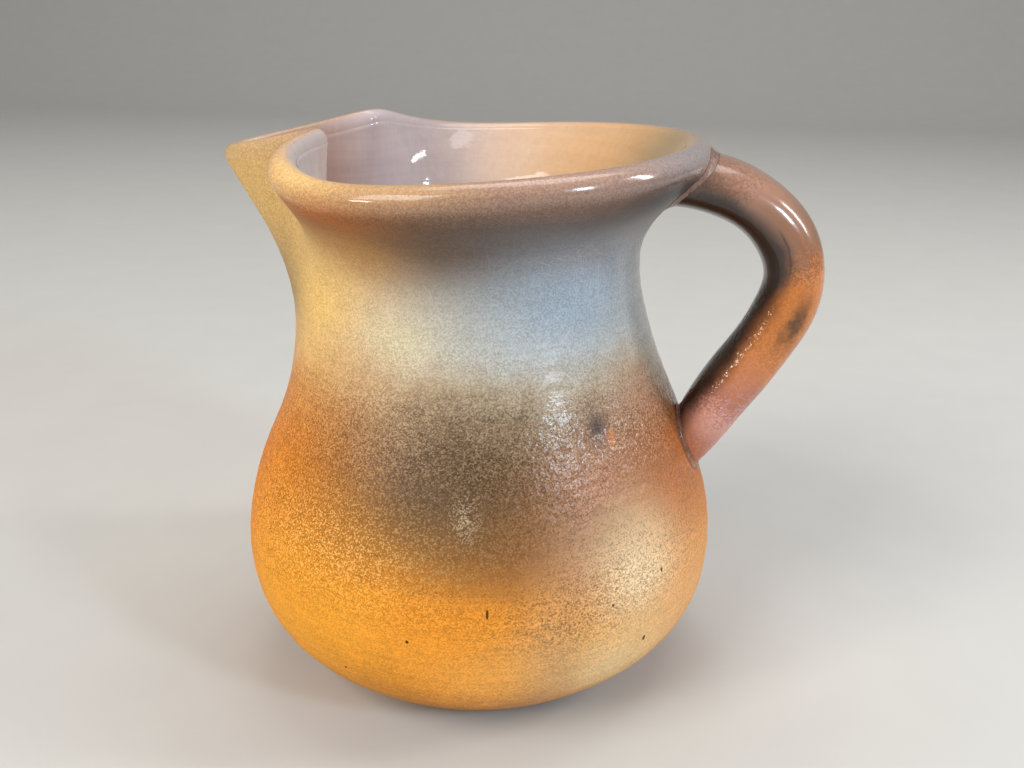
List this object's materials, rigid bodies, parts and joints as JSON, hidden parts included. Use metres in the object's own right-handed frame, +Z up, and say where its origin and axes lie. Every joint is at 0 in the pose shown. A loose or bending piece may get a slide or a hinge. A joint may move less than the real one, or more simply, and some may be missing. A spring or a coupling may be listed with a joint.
{
  "type": "terracotta jug",
  "caption": "Hand-thrown terracotta jug with a full belly, waisted neck, rolled rim, pinched and pulled spout, and a luted loop handle opposite it.",
  "frame": {"origin": "centre of the flat foot that the jug stands on", "axes": "+Z up the jug's throwing axis, +X out through the middle of the handle, so the spout points along -X"},
  "size_m": [0.1715, 0.1408, 0.1615],
  "materials": {
    "body_clay": "fire-flashed clay, semi-gloss",
    "handle_clay": "fire-flashed clay, glossy",
    "luting_slip": "smoothed slip, semi-gloss",
    "liner_glaze": "glossy clear glaze"
  },
  "bodies": {
    "root": {"thrown_body": "body_clay", "pulled_handle": "handle_clay", "upper_handle_lute": "luting_slip", "lower_handle_lute": "luting_slip", "liner_glaze": "liner_glaze"}
  },
  "joints": []
}
